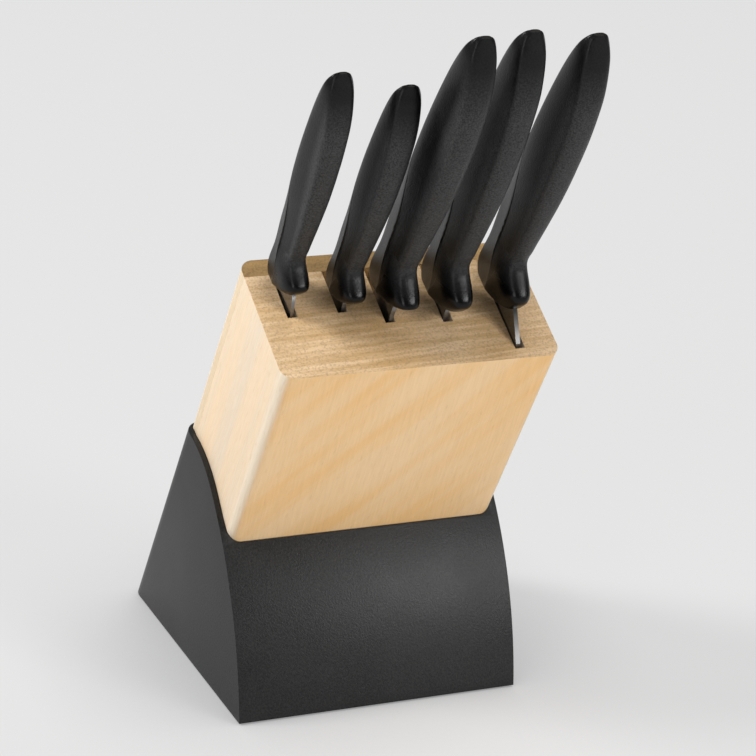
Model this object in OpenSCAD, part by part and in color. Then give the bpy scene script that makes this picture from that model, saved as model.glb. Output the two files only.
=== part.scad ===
// Countertop knife block: a slotted wooden block leaning out of a moulded base,
// with five knives whose handles are moulded in two parts round a full tang.
// Millimetres, +Z up, the knives lean towards -Y, the floor is at z = 0.

/* [Base] */
// Width of the moulded base
base_w = 120; // [110:1:140]
// Depth of the base on the table
base_d = 137.8; // [120:0.2:160]
// Forward lean of the block, in degrees
lean = 30.1; // [29.5:0.1:30.7]
// Draft of the base's back wall, which leans this much more than the block, in degrees
back_draft = 0.5; // [0:0.1:0.7]
// Angle of the front wall where it leaves the rim, from the vertical
toe_angle = 6.5; // [4:0.5:8]
// Radius of the lower sweep of the front wall
sweep_r = 136; // [125:1:150]
// Angle that the lower sweep turns through
sweep_turn = 40; // [36:0.5:43]
// Radius of the upper sweep, over the tops of the cheeks
crown_r = 53; // [48:0.5:58]
// Thickness of the cheeks beside the wooden block
cheek_t = 2.4; // [2:0.1:3.5]
// Thickness of the curved front wall
front_t = 3; // [2:0.1:4]
// Thickness of the inner wall that the block leans against
pocket_t = 2.5; // [2:0.1:4]
// Thickness of the stiffening ribs
rib_t = 2; // [1.5:0.1:2.6]
// Spacing of the stiffening ribs
rib_pitch = 30; // [26:1:34]

/* [Floor plate] */
// Thickness of the plate that closes the base and carries the block
plate_t = 3; // [2.6:0.1:4]
// Height of the base's rim above the table
rim_lift = 0.8; // [0.4:0.1:1.2]
// How far the plate is set up inside the rim
plate_inset = 0.8; // [0.4:0.1:1.2]
// Diameter of the rubber feet
foot_dia = 12; // [8:1:14]
// Depth of the pockets that hold the feet
foot_pocket = 0.6; // [0.4:0.1:1]
// Distance of the feet from the edges of the plate
foot_inset = 12; // [11:0.5:15]

/* [Wooden block] */
// Thickness of the base's wall behind the block, at the table
back_wall_t = 2.8; // [2.6:0.1:5]
// Depth of the slotted main board
main_board_d = 51.3; // [50:0.1:56]
// Thickness of the back board glued over the slots
back_board_t = 8.2; // [6:0.1:14]
// Height of the top face, measured from the table line along the lean
block_top = 144.6; // [135:0.1:155]
// Radius of the block's four long edges
block_edge_r = 7.6; // [5:0.1:7.8]
// Width of the knife slots
slot_w = 4; // [3.9:0.1:4.3]
// Play between the block and the cheeks, on each side
block_play = 0.2; // [0.1:0.05:0.4]

/* [Screws] */
// Diameter of the screws that hold the plate to the base
plate_screw_dia = 3; // [2.5:0.1:3.4]
// Length of those screws under the head
plate_screw_len = 12; // [9:0.5:16]
// Diameter of the wood screws that hold the block
block_screw_dia = 3.5; // [3:0.1:4]
// Length of the wood screws under the head
block_screw_len = 22; // [16:0.5:28]
// Diameter of every screw head
head_dia = 6; // [5:0.1:7]
// Height of every screw head
head_h = 1.6; // [1.2:0.1:2]
// Outside diameter of the screw bosses in the base
boss_dia = 8; // [7:0.1:9]
// Height of the screw bosses
boss_h = 26; // [20:1:30]

/* [Knives] */
// Thickness of the three long blades
long_blade_t = 1.8; // [1.4:0.1:2]
// Thickness of the two short blades
short_blade_t = 1.4; // [1:0.1:1.6]
// Length of the paring blade, shoulder to tip
paring_len = 90; // [75:1:100]
// Length of the utility blade
utility_len = 128; // [110:1:140]
// Length of the bread blade
bread_len = 178; // [160:1:184]
// Length of the carving blade
carving_len = 178; // [160:1:184]
// Length of the chef's blade
chef_len = 172; // [150:1:180]
// Pitch of the bread knife's scallops
scallop_pitch = 7; // [5:0.5:10]
// Depth of the scallops
scallop_depth = 0.9; // [0.4:0.1:1.4]
// Length of the long handles over the guard
long_handle_len = 138.3; // [125:0.1:155]
// Depth of the long handles at their fullest
long_handle_d = 25.7; // [23:0.1:29]
// Thickness of the long handles at their fullest
long_handle_t = 15.3; // [14:0.1:17]
// Length of the short handles over the guard
short_handle_len = 109.3; // [98:0.1:122]
// Depth of the short handles at their fullest
short_handle_d = 19.2; // [17:0.1:22]
// Thickness of the short handles at their fullest
short_handle_t = 13.7; // [12:0.1:15]
// Share of the core's outline inside the soft grip
core_share = 0.62; // [0.55:0.01:0.7]
// Height of the tang's end above the block
tang_top = 62; // [50:1:68]
// Gap round the tang and between core and grip, filled by the moulding
mould_gap = 0.06; // [0.03:0.01:0.12]

/* [Hidden] */
$fn = 64;

black_plastic = "#2b2c2e";
soft_black = "#1d1e20";
steel = "#c9ccd0";
birch = "#dfc096";
rubber_grey = "#3b3b3b";

// The origin is under the middle of the whole object's box, this far behind the base's front edge.
origin_y = 34.7;
eps = 0.01;
far = 400;

// Heights, from the table up
plate_z = rim_lift + plate_inset;
floor_z = plate_z + plate_t;
// Width of the ledge that the floor plate's edge rests against
ledge = 0.6;
// Distances behind the front edge, square to the block's lean
block_back = base_d * cos(lean) - back_wall_t - block_play;
glue_v = block_back - back_board_t;
block_front = glue_v - main_board_d;
inner_w = base_w - 2 * cheek_t;
block_w = inner_w - 2 * block_play;

// ---------- Side outline of the base: two tangent sweeps that end level over the back wall ----------

turn_end = toe_angle + sweep_turn;
sweep_centre = [sweep_r * cos(toe_angle), rim_lift - sweep_r * sin(toe_angle)];
crown_centre = sweep_centre + (sweep_r - crown_r) * heading(turn_end);

// Outward direction of the outline after it has turned by h degrees from the vertical
function heading(h) = [-cos(h), sin(h)];
function arc(centre, r, from, to, steps) =
    [for (i = [0:steps]) centre + r * heading(from + (to - from) * i / steps)];

// The front sweep drawn in by a wall thickness, from its foot over the crown, and closed far behind
function base_outline(wall = 0, foot = rim_lift) = concat(
    arc(sweep_centre, sweep_r - wall, asin((foot - sweep_centre.y) / (sweep_r - wall)), turn_end, 24),
    arc(crown_centre, crown_r - wall, turn_end, 90, 16),
    [[2 * base_d, crown_centre.y + crown_r - wall], [2 * base_d, foot]]);

// Stands a side outline, drawn as (depth, height), up across the width from x = from to x = to
module across(from, to) {
    translate([to, -origin_y, 0])
        rotate([90, 0, -90])
            mirror([1, 0, 0])
                linear_extrude(height = to - from)
                    children();
}

// Everything whose distance behind the front edge, square to the lean, is less than reach
module ahead_of(reach) {
    intersection() {
        children();
        rotate(lean)
            translate([reach - far, -far])
                square([far, 2 * far]);
    }
}

// The leaning frame of the block: x across, y towards the back, z up along the knives
module leaning(angle = lean) {
    translate([0, -origin_y, 0])
        rotate([angle, 0, 0])
            children();
}

// A leaning prism that reaches back to a flat face with two rounded corners, and forward without end
module rounded_back(width, reach, r, angle) {
    leaning(angle)
        translate([0, 0, -far / 2])
            linear_extrude(height = far) {
                translate([-width / 2, -far])
                    square([width, far + reach - r]);
                translate([r - width / 2, -far])
                    square([width - 2 * r, far + reach]);
                for (side = [-1, 1])
                    translate([side * (width / 2 - r), reach - r])
                        circle(r = r);
            }
}

// The room inside the walls, drawn in by a gap
module inner_room(gap = 0) {
    intersection() {
        across(gap - inner_w / 2, inner_w / 2 - gap)
            polygon(base_outline(front_t + gap, -1));
        rounded_back(inner_w - 2 * gap, block_back + block_play - gap, block_edge_r + block_play - gap, lean);
    }
}

// ---------- Base ----------

rib_x = [for (i = [-1.5:1:1.5]) i * rib_pitch];
// The screw bosses stand on the ribs: two near the front, two by the cheeks
hollow_d = (block_front - block_play - pocket_t) / cos(lean);
boss_at = [[rib_x[1], hollow_d * 0.27], [rib_x[2], hollow_d * 0.27],
    [rib_x[0], hollow_d * 0.7], [rib_x[3], hollow_d * 0.7]];

// The hollow between the cheeks, a ledge narrower all round than the room for the floor plate below it
module hollow() {
    across(ledge - inner_w / 2, inner_w / 2 - ledge)
        ahead_of(block_front - block_play - pocket_t)
            polygon(base_outline(front_t + ledge, floor_z - eps));
}

module boss_places() {
    for (at = boss_at)
        translate([at.x, at.y - origin_y, 0])
            children();
}

module base_shell() {
    color(black_plastic)
    difference() {
        union() {
            // the outer body, hollow in front of the inner wall that the block leans against
            difference() {
                intersection() {
                    across(-base_w / 2, base_w / 2)
                        polygon(base_outline());
                    rounded_back(base_w, base_d * cos(lean + back_draft), block_edge_r + block_play + cheek_t,
                        lean + back_draft);
                }
                hollow();
            }
            // ribs across the hollow
            for (x = rib_x)
                across(x - rib_t / 2, x + rib_t / 2)
                    ahead_of(block_front - block_play - pocket_t / 2)
                        polygon(base_outline(front_t / 2));
            boss_places()
                cylinder(d = boss_dia, h = boss_h);
        }
        // room for the floor plate, with play round it
        intersection() {
            inner_room(-block_play);
            translate([-far, -far, floor_z - 2 * far])
                cube(2 * far);
        }
        // the pocket for the wooden block
        leaning()
            translate([0, block_front - block_play, -far / 2])
                linear_extrude(height = far)
                    pocket_section();
        boss_places()
            cylinder(d = plate_screw_dia + 2 * mould_gap, h = plate_z + head_h + plate_screw_len + 1);
    }
}

// ---------- Floor plate, feet and screws ----------

foot_x = inner_w / 2 - foot_inset;
// Where the plate's back edge and the two faces of the main board stand at the floor
plate_back = (block_back - floor_z * sin(lean)) / cos(lean);
foot_ys = [front_t + foot_inset, plate_back - foot_inset];
board_foot = [for (v = [block_front, glue_v]) (v - floor_z * sin(lean)) / cos(lean)];
block_screw_y = [for (share = [0.25, 0.73]) board_foot[0] + share * (board_foot[1] - board_foot[0])];

module foot_places() {
    for (x = [-foot_x, foot_x])
        for (y = foot_ys)
            translate([x, y - origin_y, 0])
                children();
}

module block_screw_places() {
    for (x = block_screw_x)
        for (y = block_screw_y)
            translate([x, y - origin_y, plate_z])
                children();
}

// A pan-headed screw, head down, with its thread drawn as a plain shank and a cross recess in the head
module screw(dia, len) {
    difference() {
        union() {
            cylinder(d = head_dia, h = head_h);
            cylinder(d = dia, h = head_h + len - dia);
            translate([0, 0, head_h + len - dia])
                cylinder(d1 = dia, d2 = dia / 4, h = dia);
        }
        for (turn = [0, 90])
            rotate(turn)
                translate([-head_dia / 3, -head_dia / 12, -eps])
                    cube([head_dia * 2 / 3, head_dia / 6, head_h * 0.6]);
    }
}

module screw_hole(dia, len) {
    translate([0, 0, -eps])
        cylinder(d = head_dia + 0.6, h = head_h + eps);
    cylinder(d = dia + 2 * mould_gap, h = len);
}

module base_plate() {
    color(black_plastic)
    difference() {
        intersection() {
            inner_room();
            translate([-far, -far, plate_z])
                cube([2 * far, 2 * far, plate_t]);
        }
        foot_places()
            translate([0, 0, plate_z - eps])
                cylinder(d = foot_dia + 0.2, h = foot_pocket + eps);
        boss_places()
            translate([0, 0, plate_z])
                screw_hole(plate_screw_dia, plate_t + 1);
        block_screw_places()
            screw_hole(block_screw_dia, plate_t + 1);
    }
}

module foot(side, row) {
    color(rubber_grey)
    translate([side * foot_x, foot_ys[row] - origin_y, 0])
        rotate_extrude()
            polygon([[0, 0], [foot_dia / 2 - 0.5, 0], [foot_dia / 2, 0.5],
                [foot_dia / 2, plate_z + foot_pocket], [0, plate_z + foot_pocket]]);
}

module plate_screws() {
    color(steel)
    boss_places()
        translate([0, 0, plate_z])
            screw(plate_screw_dia, plate_screw_len);
}

module block_screws() {
    color(steel)
    block_screw_places()
        screw(block_screw_dia, block_screw_len);
}

// ---------- Wooden block ----------

// A rectangle with its corners rounded at the front edge, which is drawn at v = 0
module rounded_front(width, depth, r) {
    intersection() {
        union() {
            translate([r - width / 2, 0])
                square([width - 2 * r, depth]);
            translate([-width / 2, r])
                square([width, depth]);
            for (side = [-1, 1])
                translate([side * (width / 2 - r), r])
                    circle(r = r);
        }
        translate([-width / 2, 0])
            square([width, depth]);
    }
}

module board_section(depth) {
    rounded_front(block_w, depth, block_edge_r);
}

module pocket_section() {
    half = main_board_d / 2;
    depth = block_back - block_front + 2 * block_play;
    rounded_front(inner_w, half, block_edge_r + block_play);
    translate([0, depth])
        mirror([0, 1])
            rounded_front(inner_w, depth - half + eps, block_edge_r + block_play);
}

// A leaning board, cut off level where it stands on the floor plate
module board(from_v) {
    difference() {
        leaning()
            translate([0, from_v, -block_top])
                linear_extrude(height = 2 * block_top)
                    children();
        translate([-far, -far, floor_z - 2 * far])
            cube(2 * far);
    }
}

module main_board() {
    color(birch)
    difference() {
        board(block_front)
            difference() {
                board_section(main_board_d);
                for (k = [0:4])
                    translate([slot_x(k) - slot_w / 2, main_board_d - slot_depth[k]])
                        square([slot_w, slot_depth[k] + 1]);
            }
        block_screw_places()
            cylinder(d = block_screw_dia + 2 * mould_gap, h = head_h + block_screw_len + 0.5);
    }
}

module back_board() {
    color(birch)
    board(block_back)
        mirror([0, 1])
            board_section(back_board_t);
}

// ---------- Knives ----------
// A knife is drawn in its own frame: x across, y back from the glue line, z up from the block's top face.
// PARING, UTILITY, BREAD, CARVING and CHEF stand from left to right.

PARING = 0;
UTILITY = 1;
BREAD = 2;
CARVING = 3;
CHEF = 4;

// Where each knife stands across the block, at its top face, as a share of the block's width
knife_x = [for (share = [-0.392, -0.2021, -0.0514, 0.1429, 0.3571]) share * block_w];
// How it rests in its slot's play: how far its top leans to the right and back, and its turn, in degrees
knife_roll = [-0.8, 0.5, 0.3, -0.4, -0.4];
knife_tip_back = [2.3, 1.8, -0.1, 1.6, 0];
knife_turn = [1.3, -2, -1.5, -1, -0.4];
// How high each handle's heel stops above the block, and how far it sits behind the others
knife_rise = [1.6, 0.3, 2.2, 0.3, 0.3];
knife_set_back = [6.3, 0.8, -0.8, -1.3, 0];
// How far each slot reaches from the glue line to the front, as a share of the main board
slot_depth = [for (share = [0.425, 0.415, 0.55, 0.587, 0.9025]) share * main_board_d];

// How much higher the front of each guard ends than on the pattern handle
guard_lift = [0, 0, 2.2, -0.8, -2.2];
blade_len = [paring_len, utility_len, bread_len, carving_len, chef_len];
blade_t = [short_blade_t, short_blade_t, long_blade_t, long_blade_t, long_blade_t];
// Front edge of each blade at its widest, short of the slot's end, and where it leaves the handle
blade_heel = slot_depth + knife_set_back - [0.9, 1.3, 0.7, 1.4, 0.8];
blade_neck = blade_heel - [2.7, 0.8, 0.5, 0.4, 10.9];
// The reach about which a knife turns in its slot
turn_reach = 16;

// A slot is centred on its leaning blade at mid depth
function slot_x(k) = knife_x[k] - sin(knife_roll[k]) * blade_len[k] / 2;

// The wood screws stand between the slots
block_screw_x = [(slot_x(PARING) + slot_x(UTILITY)) / 2, (slot_x(CARVING) + slot_x(CHEF)) / 2];

module seated(k) {
    leaning()
        translate([knife_x[k], glue_v + knife_set_back[k], block_top + knife_rise[k]])
            rotate([-knife_tip_back[k], knife_roll[k], 0])
                translate([0, -turn_reach, 0])
                    rotate(knife_turn[k])
                        translate([0, turn_reach, 0])
                            children();
}

// Ribs of the large handle, bottom to butt: [front height, front reach, back height, back reach, half thickness],
// heights from the block's top face and reaches forward from the glue line. The guard swells forward below a
// waist, the back flares to a thumb rest, and the butt is cut off on a slant.
handle_ribs = [
    [11.2, 34.2, 0.2, 8.8, 3.6],
    [11.8, 35.2, 0.3, 6.6, 6],
    [17.2, 37.3, 6.6, 3.2, 6.2],
    [24.6, 27.6, 21, 4.6, 5.4],
    [33.8, 28.2, 34.9, 4.4, 5.6],
    [47.8, 30, 50.9, 5.2, 6.4],
    [66, 32, 69, 6.1, 7.2],
    [84, 33, 87, 7, 7.5],
    [100, 33, 105, 8.8, 7.4],
    [116, 31, 121.5, 11.8, 7.2],
    [128.5, 26, 131.5, 15, 6.4],
    [135, 22, 136.5, 17.5, 4.4],
    [138, 20.2, 138.3, 18.8, 2]];
last_rib = len(handle_ribs) - 1;
// Length, depth and thickness of each handle against the listed one
pattern = [handle_ribs[last_rib][2], 26, 15];
long_scale = [long_handle_len / pattern.x, long_handle_d / pattern.y, long_handle_t / pattern.z];
short_scale = [short_handle_len / pattern.x, short_handle_d / pattern.y, short_handle_t / pattern.z];
handle_scale = [short_scale, short_scale, long_scale, long_scale, long_scale];
// The reach that stays put when a handle is scaled
scale_reach = 6;
// Where the soft grip starts above the guard and where the core's leaf ends, counted in ribs
grip_start = 3.4;
leaf_end = 7.5;
// Half the leaf's spread round the back of the handle, at the grip's start and at the leaf's tip
leaf_wide = 88;
leaf_tip = 5;
// How square the section is: 2 is an ellipse
squareness = 2.7;
// Points round the soft grip's arc, and round the leaf
arc_points = 18;
leaf_points = 7;

function catmull(p0, p1, p2, p3, f) =
    0.5 * (2 * p1 + (p2 - p0) * f + (2 * p0 - 5 * p1 + 4 * p2 - p3) * f * f
        + (3 * p1 - p0 - 3 * p2 + p3) * f * f * f);

// A rib between the listed ones, on a smooth curve through them
function rib(s) =
    let (i = min(floor(s), last_rib - 1), r = handle_ribs,
        before = i > 0 ? r[i - 1] : 2 * r[0] - r[1],
        after = i < last_rib - 1 ? r[i + 2] : 2 * r[last_rib] - r[last_rib - 1])
    catmull(before, r[i], r[i + 1], after, s - i);

function sized_rib(s, k) =
    let (q = handle_scale[k], r = rib(s))
    [r[0] * q[0] + guard_lift[k] * max(0, min(1, 2 - s)), scale_reach + (r[1] - scale_reach) * q[1],
        r[2] * q[0], scale_reach + (r[3] - scale_reach) * q[1], r[4] * q[2]];

function signed_power(v) = sign(v) * pow(abs(v), 2 / squareness);

// A point of the handle's section at rib s: 90 degrees is the back, 270 the front, share 1 the outer skin
function skin_point(s, k, turn, share) =
    let (r = sized_rib(s, k), y = signed_power(sin(turn)) * share,
        height = (r[0] + r[2]) / 2 + (r[2] - r[0]) / 2 * y,
        reach = (r[1] + r[3]) / 2 + (r[3] - r[1]) / 2 * y)
    [r[4] * signed_power(cos(turn)) * share, -reach, height];

function leaf_spread(s) =
    max(leaf_tip, leaf_wide * (1 - pow(max(s - grip_start, 0) / (leaf_end - grip_start), 2.9)));

// Angles of a loop's points: the leaf round the back, then the arc round the front from seam to seam
function leaf_turns(s) =
    [for (i = [0:leaf_points - 1]) 90 - leaf_spread(s) + 2 * leaf_spread(s) * i / (leaf_points - 1)];
function arc_turns(spread) =
    [for (i = [0:arc_points]) 90 + spread + (360 - 2 * spread) * i / arc_points];
// The core's arc starts this far past the leaf's edge, and the grip's this far again, in degrees
seam_turn = 0.6;

// Closes a stack of loops into one solid, each end filled from its middle
module skin(loops) {
    n = len(loops[0]);
    m = len(loops);
    function middle(loop) = [for (c = [0:2]) [for (p = loop) 1] * [for (p = loop) p[c]] / n];
    points = concat([for (loop = loops) each loop], [middle(loops[0]), middle(loops[m - 1])]);
    sides = [for (j = [0:m - 2]) for (i = [0:n - 1])
        let (a = j * n + i, b = j * n + (i + 1) % n)
        each [[a, a + n, b + n], [a, b + n, b]]];
    ends = [for (i = [0:n - 1]) let (b = (i + 1) % n)
        each [[m * n, i, b], [m * n + 1, (m - 1) * n + b, (m - 1) * n + i]]];
    polyhedron(points = points, faces = concat(sides, ends), convexity = 8);
}

// The same for C-shaped loops, whose second half runs back along the first: the ends are filled across
module wrap_skin(loops) {
    n = len(loops[0]);
    m = len(loops);
    half = n / 2;
    // the diagonals run the other way, to lie along those of the core that these loops wrap
    sides = [for (j = [0:m - 2]) for (i = [0:n - 1])
        let (a = j * n + i, b = j * n + (i + 1) % n)
        each [[a, a + n, b], [b, a + n, b + n]]];
    ends = [for (i = [0:half - 2])
        let (a = i, b = i + 1, c = n - 2 - i, d = n - 1 - i, top = (m - 1) * n)
        each [[a, b, c], [a, c, d], [top + c, top + b, top + a], [top + d, top + c, top + a]]];
    polyhedron(points = [for (loop = loops) each loop], faces = concat(sides, ends), convexity = 8);
}

// The tang: a flat bar up the middle of the handle, between two reaches
function tang_back(k) = scale_reach + 5.5 * handle_scale[k][1];
function tang_front(k) = scale_reach + 14.5 * handle_scale[k][1];
function tang_end(k) = tang_top * handle_scale[k][0];
// Height of the guard's slanting underside at a reach
function under_z(k, reach) =
    let (r = sized_rib(0, k))
    r[2] + (r[0] - r[2]) * (reach - r[3]) / (r[1] - r[3]);

module tang(k, gap = 0, foot = -0.8) {
    back = tang_back(k) - gap;
    front = tang_front(k) + gap;
    width = blade_t[k] + 2 * gap;
    translate([-width / 2, 0, 0])
        rotate([90, 0, 90])
            linear_extrude(height = width)
                polygon([[-back, foot], [-front, foot], [-front, tang_end(k) + gap], [-back, tang_end(k) + gap]]);
}

// Hard core: the guard, the leaf along the back and the tongue inside the grip
module core(k) {
    loop = function (s, share) concat(
        [for (t = leaf_turns(s)) skin_point(s, k, t, 1)],
        [for (t = arc_turns(leaf_spread(s) + seam_turn)) skin_point(s, k, t, share)]);
    color(black_plastic)
    difference() {
        skin(concat(
            [for (s = [0, 0.35, 0.7, 1, 1.5, 2, 2.5, 3, grip_start]) loop(s, 1)],
            [for (s = [grip_start + 0.01, 4.2, 5, 5.8, 6.5, 7, leaf_end]) loop(s, core_share)]));
        tang(k, mould_gap, -5);
    }
}

// Soft grip: wraps the core from seam to seam, and closes over its end to make the butt
module grip(k) {
    inner_share = core_share + mould_gap / 10;
    loop = function (s, open)
        let (spread = leaf_spread(s) + 2 * seam_turn, turns = arc_turns(spread),
            outer = [for (t = turns) skin_point(s, k, t, 1)], first = outer[0], last = outer[arc_points])
        concat(outer, [for (i = [arc_points:-1:0])
            open ? skin_point(s, k, turns[i], inner_share) : first + (last - first) * i / arc_points]);
    color(soft_black)
        wrap_skin(concat(
            [for (s = [grip_start + 0.02, 4.2, 5, 5.8, 6.5, 7, leaf_end + 0.005]) loop(s, true)],
            [for (s = [leaf_end + 0.03, 8.2, 9, 9.6, 10.2, 10.7, 11.2, 11.6, last_rib]) loop(s, false)]));
}

// How far the edge has risen towards the tip, and the spine dropped, at a share f of the blade
function edge_rise(f, belly) = pow(max(f - belly, 0) / (1 - belly), 2.2);
function spine_drop(f, start) = pow(max(f - start, 0) / (1 - start), 1.8);

// Ribs of a blade below its handle: [front height, front reach, back height, back reach, edge half thickness],
// first the shoulder against the guard, then the heel, then stations down to the tip.
// straight is where the edge starts to rise, drop how much of the width the spine gives up at the tip.
function blade_ribs(k, straight, drop, steps) =
    let (t = blade_t[k] / 2, spine = sized_rib(0, k)[3] + 0.3, neck = blade_neck[k],
        heel = blade_heel[k], width = heel - spine, len = blade_len[k])
    concat(
        [[under_z(k, neck), neck, under_z(k, spine), spine, t],
            [0.8, heel - 0.4, -1, spine, t], [-1, heel, -2.5, spine, t]],
        [for (i = [1:steps])
            let (f = i / steps, z = -1 - (len - 1) * f, tip = drop * width,
                back = spine + tip * spine_drop(f, 0.55),
                front = max(heel - (width - tip) * edge_rise(f, straight), back + 0.6))
            [z, front, z - 0.02, back, 0.12]]);

module blade(k, ribs) {
    t = blade_t[k] / 2;
    // the flat keeps its full thickness from the spine to most of the width, then thins to the edge
    loops = [for (i = [len(ribs) - 1:-1:0])
        let (r = ribs[i], at = function (f) [r[3] + (r[1] - r[3]) * f, r[2] + (r[0] - r[2]) * f],
            p = at(0), q = at(0.62), e = at(1))
        [[t, -p[0], p[1]], [-t, -p[0], p[1]], [-t, -q[0], q[1]],
            [-r[4], -e[0], e[1]], [r[4], -e[0], e[1]], [t, -q[0], q[1]]]];
    color(steel) {
        skin(loops);
        tang(k);
    }
}

module paring_blade() {
    seated(PARING)
        blade(PARING, blade_ribs(PARING, 0.05, 0.25, 14));
}

module utility_blade() {
    seated(UTILITY)
        blade(UTILITY, blade_ribs(UTILITY, 0.1, 0.2, 14));
}

module bread_blade() {
    scallop_r = pow(scallop_pitch / 2, 2) / (2 * scallop_depth) + scallop_depth / 2;
    seated(BREAD)
        difference() {
            blade(BREAD, blade_ribs(BREAD, 0.82, 0.45, 16));
            color(steel)
                for (z = [12:scallop_pitch:bread_len * 0.82])
                    translate([0, scallop_depth - blade_heel[BREAD] - scallop_r, -z])
                        rotate([0, 90, 0])
                            cylinder(r = scallop_r, h = 2 * long_blade_t, center = true);
        }
}

module carving_blade() {
    seated(CARVING)
        blade(CARVING, blade_ribs(CARVING, 0.1, 0.15, 18));
}

module chef_blade() {
    seated(CHEF)
        blade(CHEF, blade_ribs(CHEF, 0.3, 0.12, 20));
}

base_shell();
base_plate();
foot(-1, 0);  // foot_front_left
foot(1, 0);  // foot_front_right
foot(-1, 1);  // foot_back_left
foot(1, 1);  // foot_back_right
plate_screws();
block_screws();
main_board();
back_board();
paring_blade();
seated(PARING) core(PARING);  // paring_core
seated(PARING) grip(PARING);  // paring_grip
utility_blade();
seated(UTILITY) core(UTILITY);  // utility_core
seated(UTILITY) grip(UTILITY);  // utility_grip
bread_blade();
seated(BREAD) core(BREAD);  // bread_core
seated(BREAD) grip(BREAD);  // bread_grip
carving_blade();
seated(CARVING) core(CARVING);  // carving_core
seated(CARVING) grip(CARVING);  // carving_grip
chef_blade();
seated(CHEF) core(CHEF);  // chef_core
seated(CHEF) grip(CHEF);  // chef_grip
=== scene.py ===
import math

import bmesh
import bpy
from mathutils import Matrix, Vector


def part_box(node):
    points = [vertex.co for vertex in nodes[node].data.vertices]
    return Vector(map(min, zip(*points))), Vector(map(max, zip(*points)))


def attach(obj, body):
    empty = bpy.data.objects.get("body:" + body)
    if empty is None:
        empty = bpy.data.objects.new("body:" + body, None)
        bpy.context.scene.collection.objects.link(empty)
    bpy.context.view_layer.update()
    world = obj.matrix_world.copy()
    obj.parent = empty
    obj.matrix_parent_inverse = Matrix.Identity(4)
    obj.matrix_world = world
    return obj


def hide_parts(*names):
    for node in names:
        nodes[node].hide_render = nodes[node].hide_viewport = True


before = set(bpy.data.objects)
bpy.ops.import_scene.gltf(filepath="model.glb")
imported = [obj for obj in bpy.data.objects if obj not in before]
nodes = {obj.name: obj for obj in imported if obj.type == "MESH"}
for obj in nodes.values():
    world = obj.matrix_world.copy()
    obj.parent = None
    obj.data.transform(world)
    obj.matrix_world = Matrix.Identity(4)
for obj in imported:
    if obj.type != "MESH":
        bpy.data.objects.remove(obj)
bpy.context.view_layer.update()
scene = bpy.context.scene

# ---------------------------------------------------------------------------
# Base shell. One injection moulding in black, finely textured plastic: the
# swept front, two cheeks, the back wall and the ribs inside. The wood drops
# into its pocket, and four screws hold the floor plate up against its ledge.
# ---------------------------------------------------------------------------


class Wire:
    """The output of a node, which takes part in sums as a number does."""

    def __init__(self, graph, socket):
        self.graph, self.socket = graph, socket

    def worked(self, operation, first, second=0.0):
        return self.graph.add("ShaderNodeMath", {"operation": operation}, {0: first, 1: second})

    def __add__(self, other):
        return self.worked("ADD", self, other)

    __radd__ = __add__

    def __sub__(self, other):
        return self.worked("SUBTRACT", self, other)

    def __rsub__(self, other):
        return self.worked("SUBTRACT", other, self)

    def __mul__(self, other):
        return self.worked("MULTIPLY", self, other)

    __rmul__ = __mul__

    def __truediv__(self, other):
        return self.worked("DIVIDE", self, other)

    def __rtruediv__(self, other):
        return self.worked("DIVIDE", other, self)

    def __abs__(self):
        return self.worked("ABSOLUTE", self)


class Graph:
    """A tree of nodes, and the one method that adds a node. A list links several wires to one socket."""

    def add(self, kind, settings={}, sockets={}, out=0):
        node = self.tree.nodes.new(kind)
        for name, value in settings.items():
            setattr(node, name, value)
        for name, value in sockets.items():
            for wire in value if isinstance(value, list) else [value]:
                if isinstance(wire, Wire):
                    self.tree.links.new(wire.socket, node.inputs[name])
                else:
                    node.inputs[name].default_value = wire
        return Wire(self, node.outputs[out])


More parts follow.
